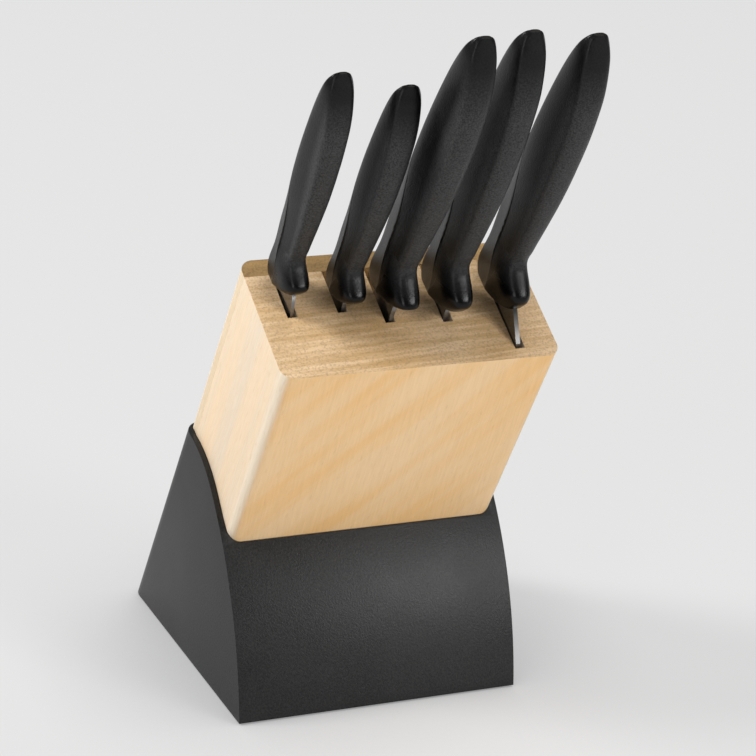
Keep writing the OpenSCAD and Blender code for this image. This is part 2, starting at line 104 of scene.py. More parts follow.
class Finish(Graph):
    """One material: its shader, and the patterns that feed it."""

    def __init__(self, name, **constants):
        self.material = bpy.data.materials.new(name)
        self.material.use_nodes = True
        self.tree = self.material.node_tree
        self.shader = self.tree.nodes["Principled BSDF"]
        for socket, value in constants.items():
            self.shader.inputs[socket.replace("_", " ")].default_value = value
        self.place = self.add("ShaderNodeTexCoord", out="Object")

    def noise(self, scale, detail=2.0, roughness=0.5, place=None, distortion=0.0):
        """Soft noise from 0 to 1, with scale cells to the metre."""
        return self.add("ShaderNodeTexNoise", {"noise_dimensions": "3D"}, {
            "Vector": place or self.place, "Scale": scale, "Detail": detail,
            "Roughness": roughness, "Distortion": distortion}, "Fac")

    def blend(self, share, first, second):
        """Mixes two colours, each a link or an RGB triple."""
        first, second = ((*c, 1) if isinstance(c, tuple) else c for c in (first, second))
        return self.add("ShaderNodeMix", {"data_type": "RGBA"}, {0: share, 6: first, 7: second}, 2)

    def span(self, value, low, high, to_low=0.0, to_high=1.0):
        """Carries value from the range low..high over to to_low..to_high, and no further."""
        return self.add("ShaderNodeMapRange", {"clamp": True}, {
            "Value": value, "From Min": low, "From Max": high, "To Min": to_low, "To Max": to_high})

    def mapped(self, place, **changes):
        """A pattern's coordinates, turned, stretched or moved."""
        return self.add("ShaderNodeMapping", {"vector_type": "POINT"}, {"Vector": place, **changes}, "Vector")

    def turned(self, place, angles, scale=(1.0, 1.0, 1.0), shift=(0.0, 0.0, 0.0)):
        """Turns a pattern's coordinates, then stretches them."""
        return self.mapped(self.mapped(place, Rotation=angles), Location=shift, Scale=scale)

    def along(self, direction, axis):
        """How far a direction lies along an axis, either way: 1 along it, 0 square to it."""
        return abs(self.add("ShaderNodeVectorMath", {"operation": "DOT_PRODUCT"},
                            {0: direction, 1: axis}, "Value"))

    def bump(self, height, distance, strength=1.0):
        sockets = {"Height": height, "Distance": distance, "Strength": strength}
        return self.add("ShaderNodeBump", {}, sockets, "Normal")

    def feed(self, **links):
        """Links what varies to the shader, and gives back the finished material."""
        for socket, wire in links.items():
            self.tree.links.new(wire.socket, self.shader.inputs[socket.replace("_", " ")])
        return self.material


# the block's own frame starts at the base's front edge on the table, and leans forward
LEAN, FRONT_EDGE = math.radians(30.1), -0.0347
# the block in its own frame, and the radius of its long edges and of the pocket round them
HALF_WIDTH, BLOCK_FRONT, BLOCK_BACK = 0.0574, 0.056718, 0.116218
BLOCK_CORNER, POCKET_CORNER = 0.0076, 0.0078
# how much tighter those corners are here than in the solids, and how near to one its points lie
CORNER_SHIFT, BESIDE, ON_ARC = 0.0020, 1e-5, 4e-5
CORNER_AXES = [(side * (HALF_WIDTH - BLOCK_CORNER), depth, way) for side in (-1, 1)
               for depth, way in ((BLOCK_FRONT + BLOCK_CORNER, -1), (BLOCK_BACK - BLOCK_CORNER, 1))]
# points within SAME of each other are one point, faces within FLAT are one face, and past SHARP is an edge
SAME, FLAT, SHARP = 2e-6, math.radians(0.4), math.radians(28)


def tightened(shape, radius):
    """Makes the radius of the block's or the pocket's corners smaller by CORNER_SHIFT."""
    down = Matrix.Rotation(-LEAN, 4, "X") @ Matrix.Translation((0, -FRONT_EDGE, 0))
    up = down.inverted()
    keep = (radius - CORNER_SHIFT) / radius
    for vert in shape.verts:
        at = down @ vert.co
        for x, depth, way in CORNER_AXES:
            across, deep = (at.x - x) * math.copysign(1, x), (at.y - depth) * way
            if across > -BESIDE and deep > -BESIDE and abs(math.hypot(across, deep) - radius) < ON_ARC:
                at.x = x + math.copysign(across * keep + CORNER_SHIFT, x)
                at.y = depth + (deep * keep + CORNER_SHIFT) * way
                vert.co = up @ at
                break


def settle(piece, sharp=SHARP):
    """Turns what the modifiers make into the piece's plain mesh, smooth but for its sharp edges."""
    bpy.context.view_layer.update()
    made = bpy.data.meshes.new_from_object(piece.evaluated_get(bpy.context.evaluated_depsgraph_get()))
    piece.modifiers.clear()
    made.name = piece.name
    piece.data = made
    made.shade_smooth()
    made.set_sharp_from_angle(angle=sharp)
    return piece


def placed(name, data):
    """A new object in the scene, with this mesh, lamp or camera for its data."""
    piece = bpy.data.objects.new(name, data)
    scene.collection.objects.link(piece)
    return piece


def merged_copy(node, name, bevel=0.0, segments=2, corners=0.0):
    """A copy of a CAD node's mesh with its facets merged, and its sharp edges broken."""
    mesh = nodes[node].data.copy()
    mesh.name = name
    shape = bmesh.new()
    shape.from_mesh(mesh)
    bmesh.ops.remove_doubles(shape, verts=shape.verts, dist=SAME)
    if corners:
        tightened(shape, corners)
    bmesh.ops.dissolve_limit(shape, angle_limit=FLAT, verts=shape.verts, edges=shape.edges)
    shape.to_mesh(mesh)
    shape.free()
    mesh.materials.clear()
    piece = placed(name, mesh)
    if bevel:
        edge = piece.modifiers.new("broken edges", "BEVEL")
        edge.width, edge.segments, edge.limit_method, edge.angle_limit = bevel, segments, "ANGLE", SHARP
    return settle(piece)


def dress(piece, material, slot, body, *replaced):
    """Gives a finished piece its material, and its place in the record."""
    piece.data.materials.append(material)
    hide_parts(*replaced)
    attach(piece, body)


# an even spark-eroded grain that catches the light, and faint clouds in the sheen
base_finish = Finish("base plastic", Specular_IOR_Level=0.36)
cloud = base_finish.noise(38, 3)
grain = base_finish.noise(1250, 2, 0.6) * 0.7 + base_finish.noise(2900, 1, 0.5) * 0.3
grain = base_finish.span(grain, 0.34, 0.66)
base_plastic = base_finish.feed(
    Base_Color=base_finish.blend(grain * 0.8 + base_finish.span(cloud, 0.35, 0.65) * 0.2,
                                 (0.001, 0.001, 0.001), (0.022, 0.022, 0.0223)),
    Roughness=base_finish.span(cloud, 0.3, 0.7, 0.40, 0.46),
    Normal=base_finish.bump(grain, 0.00004))
base = merged_copy("base_shell", "base_moulding", bevel=0.0008, segments=3, corners=POCKET_CORNER)
dress(base, base_plastic, "base_plastic", "block", "base_shell")

# ---------------------------------------------------------------------------
# Floor plate. A flat moulding of the same plastic with pockets for the feet
# and sunk holes for the screws, flush inside the shell's rim.
# ---------------------------------------------------------------------------

plate = merged_copy("base_plate", "floor_plate", bevel=0.0003)
dress(plate, base_plastic, "base_plastic", "block", "base_plate")

# ---------------------------------------------------------------------------
# Four feet. Cut rubber pads with a rounded lower edge, glued in the plate's
# pockets: matt, and a little dusty on the face that stands on the table.
# ---------------------------------------------------------------------------

rubber = Finish("foot rubber", Roughness=0.85)
dust = rubber.span(rubber.noise(260, 3, 0.6), 0.4, 0.75)
rubber.feed(
    Base_Color=rubber.blend(dust, (0.030, 0.030, 0.030), (0.062, 0.060, 0.057)),
    Normal=rubber.bump(rubber.noise(1500, 2), 0.00008, 0.8))
for corner in ("front_left", "front_right", "back_left", "back_right"):
    foot = merged_copy("foot_" + corner, "rubber_foot_" + corner, bevel=0.0004, segments=3)
    dress(foot, rubber.material, "foot_rubber", "block", "foot_" + corner)

# ---------------------------------------------------------------------------
# Screws. Zinc-plated steel with a cross recess, four into the shell's bosses
# and four longer ones into the end grain of the block.
# ---------------------------------------------------------------------------

zinc = Finish("zinc plate", Metallic=1.0)
patch = zinc.noise(420, 3, 0.6)
zinc.feed(
    Base_Color=zinc.blend(patch, (0.50, 0.51, 0.53), (0.66, 0.66, 0.64)),
    Roughness=zinc.span(patch, 0.3, 0.7, 0.28, 0.42),
    Normal=zinc.bump(zinc.noise(2600, 1), 0.00003, 0.6))

# edges of a screw that turn by more than this stay crisp
SCREW_SHARP = math.radians(35)


class Recipe(Graph):
    """A Geometry Nodes tree: its named sizes, and the mesh that it makes of them."""

    def __init__(self, name, **sizes):
        self.tree = bpy.data.node_groups.new(name, "GeometryNodeTree")
        self.sockets = {size: self.tree.interface.new_socket(
            size.replace("_", " "), in_out="INPUT", socket_type="NodeSocketFloat") for size in sizes}
        for size, value in sizes.items():
            self.sockets[size].default_value = value
        self.tree.interface.new_socket("Geometry", in_out="OUTPUT", socket_type="NodeSocketGeometry")
        self.start = self.tree.nodes.new("NodeGroupInput")

    def size(self, name):
        return Wire(self, self.start.outputs[name.replace("_", " ")])

    def point(self, x, y, z):
        return self.add("ShaderNodeCombineXYZ", {}, {"X": x, "Y": y, "Z": z})

    def moved(self, mesh, **changes):
        return self.add("GeometryNodeTransform", {}, {"Geometry": mesh, **changes})

    def close(self, instances, material):
        real = self.add("GeometryNodeRealizeInstances", {}, {"Geometry": instances})
        done = self.add("GeometryNodeSetMaterial", {}, {"Geometry": real, "Material": material})
        self.tree.links.new(done.socket, self.tree.nodes.new("NodeGroupOutput").inputs[0])

    def make(self, name, at, **sizes):
        """Runs the tree with these sizes, and leaves a plain mesh at that place."""
        piece = placed(name, bpy.data.meshes.new(name))
        made = piece.modifiers.new(self.tree.name, "NODES")
        made.node_group = self.tree
        for size, value in sizes.items():
            made[self.sockets[size].identifier] = float(value)
        settle(piece, SCREW_SHARP)
        piece.data.transform(Matrix.Translation(at))
        return piece


# a pan-headed screw, head down, with a cross recess and a rolled thread; four stand in two rows
HEAD_RADIUS = 0.003
# as shares of the head's radius, its face and its cross's length and width; of its height, the cross's depth
HEAD_FACE, RECESS_LENGTH, RECESS_WIDTH, RECESS_DEPTH = 0.82, 1.2, 0.3, 0.6
# in head heights: how deep in the head the shank starts, and how much shorter than the screw its thread is
SHANK_START, THREAD_SHORT = 0.7, 1.6
# as shares of the shank's radius: its core at head and tip, the thread at head and tip, the thread's ridge
CORE_HEAD, CORE_TIP, THREAD_HEAD, THREAD_TIP, THREAD_RIDGE = 0.86, 0.5, 0.84, 0.52, 0.15
screws = Recipe("screws in two rows", Front_Spread=0.03, Back_Spread=0.09, Row_Distance=0.027,
                Head_Radius=HEAD_RADIUS, Head_Height=0.0016, Shank_Radius=0.0015, Height=0.0136,
                Thread_Pitch=0.0012)
head_r, head_h, shank_r = (screws.size(name) for name in ("Head_Radius", "Head_Height", "Shank_Radius"))
height, pitch = screws.size("Height"), screws.size("Thread_Pitch")
head = screws.add("GeometryNodeMeshCone", {"fill_type": "NGON"}, {
    "Vertices": 32, "Side Segments": 3, "Radius Bottom": head_r * HEAD_FACE, "Radius Top": head_r,
    "Depth": head_h})
cross = [screws.add("GeometryNodeMeshCube", {}, {
    "Size": screws.point(long * head_r, wide * head_r, head_h * (2 * RECESS_DEPTH))})
    for long, wide in ((RECESS_LENGTH, RECESS_WIDTH), (RECESS_WIDTH, RECESS_LENGTH))]
head = screws.add("GeometryNodeMeshBoolean", {"operation": "DIFFERENCE"}, {"Mesh 1": head, "Mesh 2": cross})
shank = screws.add("GeometryNodeMeshCone", {"fill_type": "NGON"}, {
    "Vertices": 24, "Radius Bottom": shank_r * CORE_HEAD, "Radius Top": shank_r * CORE_TIP,
    "Depth": height - head_h * SHANK_START})
shank = screws.moved(shank, Translation=screws.point(0.0, 0.0, head_h * SHANK_START))
run = height - head_h * THREAD_SHORT
thread = screws.add("GeometryNodeCurveToMesh", {}, {
    "Curve": screws.add("GeometryNodeCurveSpiral", {}, {
        "Resolution": 20, "Rotations": run / pitch, "Start Radius": shank_r * THREAD_HEAD,
        "End Radius": shank_r * THREAD_TIP, "Height": run}),
    "Profile Curve": screws.add("GeometryNodeCurvePrimitiveCircle", {"mode": "RADIUS"}, {
        "Resolution": 4, "Radius": shank_r * THREAD_RIDGE}),
    "Fill Caps": True})
thread = screws.moved(thread, Translation=screws.point(0.0, 0.0, head_h))
screw = screws.add("GeometryNodeJoinGeometry", {}, {"Geometry": [head, shank, thread]})
rows = [screws.add("GeometryNodeMeshLine", {"mode": "OFFSET", "count_mode": "TOTAL"}, {
    "Count": 2, "Start Location": screws.point(spread * -0.5, screws.size("Row_Distance") * way, 0.0),
    "Offset": screws.point(spread, 0.0, 0.0)})
    for spread, way in ((screws.size("Front_Spread"), -0.5), (screws.size("Back_Spread"), 0.5))]
rows = screws.add("GeometryNodeJoinGeometry", {}, {"Geometry": rows})
four = screws.add("GeometryNodeInstanceOnPoints", {}, {"Points": rows, "Instance": screw})
screws.close(four, zinc.material)
# the plate's two front screws stand closer together than its back ones, and the block's are thicker
for node, front_share, shank_radius, thread_pitch in (
        ("plate_screws", 1 / 3, 0.0015, 0.0012), ("block_screws", 1.0, 0.00175, 0.0016)):
    low, high = (Vector(corner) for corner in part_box(node))
    spread, row_distance, screw_height = high - low - Vector((2 * HEAD_RADIUS, 2 * HEAD_RADIUS, 0))
    piece = screws.make("zinc_" + node, ((low.x + high.x) / 2, (low.y + high.y) / 2, low.z),
                        Front_Spread=spread * front_share, Back_Spread=spread, Row_Distance=row_distance,
                        Height=screw_height, Shank_Radius=shank_radius, Thread_Pitch=thread_pitch)
    piece.data.materials.clear()
    dress(piece, zinc.material, "screw_steel", "block", node)

# ---------------------------------------------------------------------------
# Block. Two boards of pale birch glued face to face, planed, sanded and
# oiled: straight grain up the sides, a soft cathedral figure across the wide
# front, and end grain on top, with the slots sawn in before the gluing.
# ---------------------------------------------------------------------------


def board_wood(name, heart, front, streak, side, edge, end_pale, end_dark):
    """Birch in the board's own frame: x across, y deep, z along the grain."""
    wood = Finish(name)
    own = wood.turned(wood.place, (-LEAN, 0, 0))
    # the wide face cuts the growth rings at a slant: soft warm streaks
    slant = wood.turned(own, (0.0, -0.62, 0.0), (1.0, 1.0, 0.13), heart)
    streaks = wood.span(wood.noise(72, 3, 0.5, slant, 0.25), 0.44, 0.64)
    clouds = wood.span(wood.noise(14, 2, 0.5, own), 0.35, 0.65)
    # fibres and flecks run along the grain, and so do the bands on the narrow side
    drawn_out = wood.turned(own, (0.0, 0.06, 0.0), (1.0, 1.0, 0.05))
    fibre = wood.span(wood.noise(1300, 2, 0.6, drawn_out), 0.3, 0.7)
    fleck = wood.noise(900, 1, 0.5, wood.turned(own, (0.0, 0.0, 0.0), (1.0, 1.0, 0.2)))
    fleck = wood.span(fleck, 0.62, 0.76)
    bands = wood.noise(95, 3, 0.55, wood.turned(own, (0.02, 0.0, 0.0), (1.0, 1.0, 0.035)))
    bands = wood.span(bands, 0.35, 0.68)
    wide = wood.blend(streaks * 0.62 + clouds * 0.2, front, streak)
    # the narrow sides' paler, greyer colour is partly the edge grain of the wood and partly a painted sheen
    narrow_side_with_sheen = wood.blend(bands * 0.55, side, front)
    # end grain: thin growth lines across the board, and open pores
    line = wood.noise(520, 3, 0.7, wood.turned(own, (0.0, 0.0, -0.05), (0.05, 1.0, 1.0)))
    line = wood.span(line * 0.6 + wood.noise(22, 2, 0.5, own) * 0.4, 0.38, 0.62)
    pore = wood.span(wood.noise(1150, 2, 0.6, own), 0.48, 0.66)
    darkest = tuple(c * 0.5 for c in end_dark)
    end = wood.blend(pore * 0.38, wood.blend(line, end_pale, end_dark), darkest)
    # which way a face looks tells the wide faces, the edges and the sawn ends apart
    normal = wood.add("ShaderNodeTexCoord", out="Normal")
    ends = wood.span(wood.along(normal, (0, -math.sin(LEAN), math.cos(LEAN))), 0.75, 0.92)
    wides = wood.span(wood.along(normal, (0, math.cos(LEAN), math.sin(LEAN))), 0.64, 0.90)
    sides = wood.span(wood.along(normal, (1, 0, 0)), 0.93, 1.0)
    # the rounded long edges between the wide faces and the sides get the paler edge colour: a painted
    # highlight
    long_grain = wood.blend((1 - wides) * (1 - sides) * 0.9, wood.blend(wides, narrow_side_with_sheen, wide), edge)
    long_grain = wood.blend(fibre * 0.17 + fleck * 0.16, long_grain, tuple(c * 0.62 for c in streak))
    # the saw scorches the arris between them
    return wood.feed(
        Base_Color=wood.blend(ends * (1 - ends) * 2.4, wood.blend(ends, long_grain, end), darkest),
        Roughness=0.50 + fibre * 0.08 + ends * 0.1,
        Normal=wood.bump(fibre * (1 - ends) - pore * ends, 0.00008, 0.7))


main_birch = board_wood(
    "main board birch", heart=(0.02, 0.9, 0.12), front=(0.90, 0.635, 0.365), streak=(0.875, 0.52, 0.20),
    side=(0.735, 0.615, 0.475), edge=(0.88, 0.76, 0.60),
    end_pale=(0.98, 0.715, 0.445), end_dark=(0.68, 0.425, 0.19))
# the back board's end grain is painted about half as bright as the main board's: a painted shadow of the
# handles over the back of the top
back_birch_with_painted_shade = board_wood(
    "back board birch with painted shade", heart=(1.35, 0.4, 0.5), front=(0.83, 0.62, 0.36), streak=(0.78, 0.50, 0.21),
    side=(0.72, 0.595, 0.44), edge=(0.86, 0.74, 0.58),
    end_pale=(0.50, 0.31, 0.12), end_dark=(0.34, 0.205, 0.075))
for node, name, birch in (("main_board", "slotted_main_board", main_birch),
                          ("back_board", "glued_back_board", back_birch_with_painted_shade)):
    board = merged_copy(node, name, bevel=0.0003, corners=BLOCK_CORNER)
    dress(board, birch, "board_wood", "block", node)

# ---------------------------------------------------------------------------
# Blades. Rolled stainless steel, ground to an edge and finished with a fine
# cross grain. Each runs up into its handle as a flat tang.
# ---------------------------------------------------------------------------


def blade_steel(name, dull, bright, low, high):
    """Stainless steel with a fine grain across the blade, roughness from low to high."""
    steel = Finish(name, Metallic=1.0)
    across = steel.mapped(steel.place, Rotation=(-LEAN, 0, 0), Scale=(1, 0.03, 1))
    grind = steel.noise(2400, 3, 0.6, across)
    return steel.feed(
        Base_Color=steel.blend(grind, dull, bright),
        Roughness=steel.span(grind, 0.3, 0.7, low, high),
        Normal=steel.bump(grind, 0.00001, 0.5))


# both steels are painted darker than bare stainless, a painted shade for the blades standing in their slots,
# and the ground edges are painted darker still
flat_steel_with_painted_shade = blade_steel(
    "blade flats with painted shade", dull=(0.25, 0.25, 0.254), bright=(0.35, 0.35, 0.35), low=0.14, high=0.24)
ground_steel_with_painted_shade = blade_steel(
    "ground edges with painted shade", dull=(0.17, 0.168, 0.165), bright=(0.26, 0.256, 0.25), low=0.40, high=0.52)
# a face that looks this nearly the way of the widest one is part of the flats, and the rest was ground
FLAT_SHARE = 0.9
for knife in ("paring", "utility", "bread", "carving", "chef"):
    blade = merged_copy(knife + "_blade", knife + "_steel_blade")
    widest = max(blade.data.polygons, key=lambda face: face.area).normal
    blade.data.materials.append(flat_steel_with_painted_shade)
    for face in blade.data.polygons:
        face.material_index = 0 if abs(face.normal.dot(widest)) > FLAT_SHARE else 1
    dress(blade, ground_steel_with_painted_shade, "blade_steel", knife + "_knife", knife + "_blade")

# ---------------------------------------------------------------------------
# Handles. The hard core is moulded on the tang first and makes the polished
# guard and a leaf up the back; the soft grip is moulded round it, up to a
# fine seam at the leaf's edge, and closes over the top as a slanting butt.
# ---------------------------------------------------------------------------

# ribs from guard to butt, in mm: front height and reach, back height and reach, half thickness
RIBS = ((11.2, 34.2, 0.2, 8.8, 3.6), (11.8, 35.2, 0.3, 6.6, 6.0), (17.2, 37.3, 6.6, 3.2, 6.2),
        (24.6, 27.6, 21.0, 4.6, 5.7), (33.8, 28.2, 34.9, 4.4, 5.8), (47.8, 30.0, 50.9, 5.2, 6.4),
        (66.0, 32.0, 69.0, 6.1, 7.2), (84.0, 33.0, 87.0, 7.0, 7.5), (100.0, 33.0, 105.0, 8.8, 7.4),
        (116.0, 31.0, 121.5, 11.8, 7.2), (128.5, 26.0, 131.5, 15.0, 6.4), (135.0, 22.0, 136.5, 17.5, 4.4),
        (138.0, 20.2, 138.3, 18.8, 2.0))
# places on a handle are counted in ribs: where the grip starts on the core, and where the core's leaf ends
GRIP_START, LEAF_END = 3.4, 7.5
# the leaf's half spread round the back at the guard and at its tip, in degrees, and how late it narrows
LEAF_SPREAD, LEAF_TIP, LEAF_TAPER = 88, 5.0, 2.9
# the core under the grip and the seam's depth, as shares of the section; the seam's width in degrees, and
# the share of a rib over which it fades in and out
CORE_SHARE, SEAM_DEPTH, SEAM_WIDTH, SEAM_FADE = 0.62, 0.022, 1.5, 0.25
# depth in a section runs from -1 at the front to 1 at the back. The section is a squared oval, whose flank
# is flat from SIDE_FRONT to the leaf's edge, at EDGE_BACK or before, and on to FLANK_BACK. There it is
# BACK_WIDTH wide, and rounds over the back
SQUARENESS, SIDE_FRONT, EDGE_BACK, FLANK_BACK, BACK_WIDTH = 2.7, -0.5, 0.8, 0.9, 0.62
BACK_BEND, BACK_DROP = 2.2, 0.45
# the flat fades out over the ribs up to FADE_END
FADE_END, FADE_RUN = 7.0, 3.0
# from WEDGE_START on the section also narrows to the front like a wedge, which is blunter at the butt. Its
# two ends, where it is thinner than THIN, stay as they are
WEDGE_START, WEDGE_LINE, WEDGE_AT, WEDGE_POWER = 2.4, 1.02, 0.4, 14
WEDGE_SLOPE, BUTT_SLOPE, THIN = 0.28, 0.18, 0.01
# steps in degrees beside a seam, and the points between them on the leaf and on the grip
SEAM_STEPS, LEAF_POINTS, GRIP_POINTS = (0.0, 0.8, 1.6, 2.6, 4.0), 14, 40
# the loops up the leaf and up the butt, and how far past the leaf's last loop the butt's first one stands
LEAF_ROWS, BUTT_ROWS, BUTT_STEP = 100, 60, 0.003
# a skin's points this close are one, its edges this short are dropped, and it is smooth up to this angle
SKIN_SAME, SKIN_SHORT, SKIN_SHARP = 1e-6, 1e-7, math.radians(40)
# where each knife stands on the block, in mm: across, behind the glue line, above the top; its roll, how far
# its tip is set back and its turn, in degrees; its scale in length, depth and thickness; and how far the
# front of its guard rises, in mm
SEATS = {"paring": ((-45.0, 6.3, 1.6), (-0.8, 2.3, 1.3), (0.790, 0.738, 0.913), 0.0),
         "utility": ((-23.2, 0.8, 0.3), (0.5, 1.8, -2.0), (0.790, 0.738, 0.913), 0.0),
         "bread": ((-5.9, -0.8, 2.2), (0.3, -0.1, -1.5), (1.0, 0.988, 1.02), 2.2),
         "carving": ((16.4, -1.3, 0.3), (-0.4, 1.6, -1.0), (1.0, 0.988, 1.02), -0.8),
         "chef": ((41.0, 0.0, 0.3), (-0.4, 0.0, -0.4), (1.0, 0.988, 1.02), -2.2)}
# a guard's front rises less and less up to this rib
RISE_END = 2
# in mm: the block's glue line and top, the depth that a scaled handle keeps, and the depth it turns about
GLUE_LINE, BLOCK_TOP, STILL_REACH, TURN_REACH = 108.018, 144.6, 6.0, 16.0
PER_METRE = 1000


def clamp(share):
    """Keeps a share from 0 to 1."""
    return max(0.0, min(1.0, share))


def beyond(end, inner):
    """The rib that carries the row on past its end rib."""
    return tuple(2 * a - b for a, b in zip(end, inner))


LAST = len(RIBS) - 1
CARRIED_ON = (beyond(RIBS[0], RIBS[1]), *RIBS, beyond(RIBS[-1], RIBS[-2]))


def rib_at(s, scale, rise):
    """A rib on a smooth curve through the listed ones, scaled to its knife."""
    i = min(int(s), LAST - 1)
    f = s - i
    front_z, front, back_z, back, thick = (
        0.5 * (2 * b + (c - a) * f + (2 * a - 5 * b + 4 * c - d) * f ** 2 + (3 * b - a - 3 * c + d) * f ** 3)
        for a, b, c, d in zip(*CARRIED_ON[i:i + 4]))
    return (front_z * scale[0] + rise * clamp(RISE_END - s), STILL_REACH + (front - STILL_REACH) * scale[1],
            back_z * scale[0], STILL_REACH + (back - STILL_REACH) * scale[1], thick * scale[2])


def side_at(v):
    """The squared oval's half width at depth v."""
    return max(0.0, 1 - abs(v) ** SQUARENESS) ** (1 / SQUARENESS)


def leaf_spread(s):
    """Half the leaf's reach round the back, in degrees: it narrows to a tip below the butt."""
    if s >= LEAF_END:
        return LEAF_TIP
    climbed = max(s - GRIP_START, 0) / (LEAF_END - GRIP_START)
    return max(LEAF_TIP, LEAF_SPREAD * (1 - climbed ** LEAF_TAPER))


def half_width(v, edge, s):
    """Half the section's width at depth v, as a share of the thickness. The leaf's edge is at depth edge."""
    oval = side_at(v)
    if oval > THIN and s > WEDGE_START:
        slope = WEDGE_SLOPE + (BUTT_SLOPE - WEDGE_SLOPE) * clamp((s - FADE_END) / FADE_RUN)
        face = WEDGE_LINE - slope * (WEDGE_AT - v)
        wedge = (face ** -WEDGE_POWER + oval ** -WEDGE_POWER) ** (-1 / WEDGE_POWER)
        oval += (wedge - oval) * min(1.0, s - WEDGE_START)
    at_edge, at_front = side_at(edge), side_at(SIDE_FRONT)
    if v > FLANK_BACK:
        past = (v - FLANK_BACK) / (1 - FLANK_BACK)
        flat = BACK_WIDTH * max(0.0, 1 - past ** BACK_BEND) ** BACK_DROP
    elif v > edge:
        flat = at_edge + (BACK_WIDTH - at_edge) * (v - edge) / (FLANK_BACK - edge)
    elif v > SIDE_FRONT:
        flat = at_front + (at_edge - at_front) * (v - SIDE_FRONT) / (edge - SIDE_FRONT)
        flat = (flat + oval) / 2
    else:
        flat = oval
    flat = min(flat, oval) if v < edge else flat
    fade = clamp((FADE_END - s) / FADE_RUN)
    return oval + (flat - oval) * fade * fade * (3 - 2 * fade)


def seam_dip(s, turn, spread):
    """How far the skin sinks at the seam, as a share of the section."""
    away = min(abs(turn - 90 - spread), abs(turn - 450 + spread), abs(turn - 90 + spread))
    fade = clamp(min(s - GRIP_START, LEAF_END - s) / SEAM_FADE)
    return SEAM_DEPTH * fade * math.exp(-(away / SEAM_WIDTH) ** 2)


def section(s, scale, rise, turns, shares):
    """One loop round the handle: turn 90 is the back and 270 the front, and share 1 is the outer skin."""
    front_z, front, back_z, back, thick = rib_at(s, scale, rise)
    edge = min(EDGE_BACK, math.cos(math.radians(leaf_spread(s))) ** (2 / SQUARENESS))
    points = []
    for turn, share in zip(turns, shares):
        c, v = math.cos(math.radians(turn)), math.sin(math.radians(turn))
        v = math.copysign(abs(v) ** (2 / SQUARENESS), v)
        x = math.copysign(half_width(v, edge, s), c) * thick
        points.append((x * share, -((front + back) / 2 + (back - front) / 2 * v * share),
                       (front_z + back_z) / 2 + (back_z - front_z) / 2 * v * share))
    return points


def stations(start, end, inner):
    """Angles from start to end, crowded at both ends where the seam runs."""
    step = (end - start - 2 * SEAM_STEPS[-1]) / inner
    return ([start + d for d in SEAM_STEPS] + [start + SEAM_STEPS[-1] + step * j for j in range(1, inner)]
            + [end - d for d in reversed(SEAM_STEPS)])


def skin_piece(name, loops, folded):
    """Closes a stack of (climb, points) loops into one skin. A folded loop runs out along the grip's outside
    and back along its inside. Two attributes stay on the points: climb, in ribs, and behind, from -1 at a
    loop's front to 1 at its back."""
    shape = bmesh.new()
    climb = shape.verts.layers.float.new("climb")
    behind = shape.verts.layers.float.new("behind")
    rows = []
    for s, loop in loops:
        rows.append([shape.verts.new(Vector(point) / PER_METRE) for point in loop])
        depths = [point[1] for point in loop]
        middle, half = (max(depths) + min(depths)) / 2, (max(depths) - min(depths)) / 2
        for vert, depth in zip(rows[-1], depths):
            vert[climb], vert[behind] = s, (depth - middle) / half
    n = len(rows[0])
    for low, high in zip(rows, rows[1:]):
        for i in range(n):
            shape.faces.new((low[i], low[(i + 1) % n], high[(i + 1) % n], high[i]))
    for row in (rows[0], rows[-1]):
        if folded:
            for i in range(n // 2 - 1):
                shape.faces.new((row[i], row[i + 1], row[n - 2 - i], row[n - 1 - i]))
        else:
            shape.faces.new(row)
    bmesh.ops.remove_doubles(shape, verts=shape.verts, dist=SKIN_SAME)
    bmesh.ops.dissolve_degenerate(shape, edges=shape.edges, dist=SKIN_SHORT)
    bmesh.ops.recalc_face_normals(shape, faces=shape.faces)
    mesh = bpy.data.meshes.new(name)
    shape.to_mesh(mesh)
    shape.free()
    return placed(name, mesh)


def seat_matrix(place, angles):
    """Carries a knife's own frame, its y back from the glue line and its z up from the block's top, to its
    slot."""
    x, behind, above = (c / PER_METRE for c in place)
    roll, tip_back, turn = (math.radians(a) for a in angles)
    return (Matrix.Translation((0, FRONT_EDGE, 0)) @ Matrix.Rotation(LEAN, 4, "X")
            @ Matrix.Translation((x, GLUE_LINE / PER_METRE + behind, BLOCK_TOP / PER_METRE + above))
            @ Matrix.Rotation(roll, 4, "Y") @ Matrix.Rotation(-tip_back, 4, "X")
            @ Matrix.Translation((0, -TURN_REACH / PER_METRE, 0)) @ Matrix.Rotation(turn, 4, "Z")
            @ Matrix.Translation((0, TURN_REACH / PER_METRE, 0)))


def handle_plastic(name, dark, light, **constants):
    """Black moulding: finely grained above the guard, greyer down the front from a painted highlight,
    smoother at the butt, and polished on the bulb that the finger rests against."""
    plastic = Finish(name, **constants)
    climb = plastic.add("ShaderNodeAttribute", {"attribute_name": "climb"}, out="Fac")
    behind = plastic.add("ShaderNodeAttribute", {"attribute_name": "behind"}, out="Fac")
    # the bulb at the front is polished up to the third rib, the back only to the first
    matt = plastic.span(climb + plastic.span(behind, -0.15, 0.45) * 2.2, 2.2, 3.3)
    butt = plastic.span(climb, 8.5, 9.9)
    # the front of the grip is painted lighter than its flanks: a painted highlight, which the butt leaves out
    painted_front_light = plastic.span(behind, -0.25, -0.62) * (1 - butt)
    cloud = plastic.noise(45, 3)
    grain = plastic.span(plastic.noise(1700, 2, 0.6), 0.34, 0.66)
    polished = plastic.span(cloud, 0.3, 0.7, 0.19, 0.29)
    grained = plastic.span(cloud, 0.3, 0.7, 0.39, 0.45) - butt * 0.11
    return plastic.feed(
        Base_Color=plastic.blend(matt * (0.4 + grain) * (0.10 + painted_front_light * 0.62), dark, light),
        Roughness=polished + matt * (grained - polished),
        Normal=plastic.bump(grain * (matt * 0.7 + 0.3) * (1 - butt * 0.5), 0.00005))


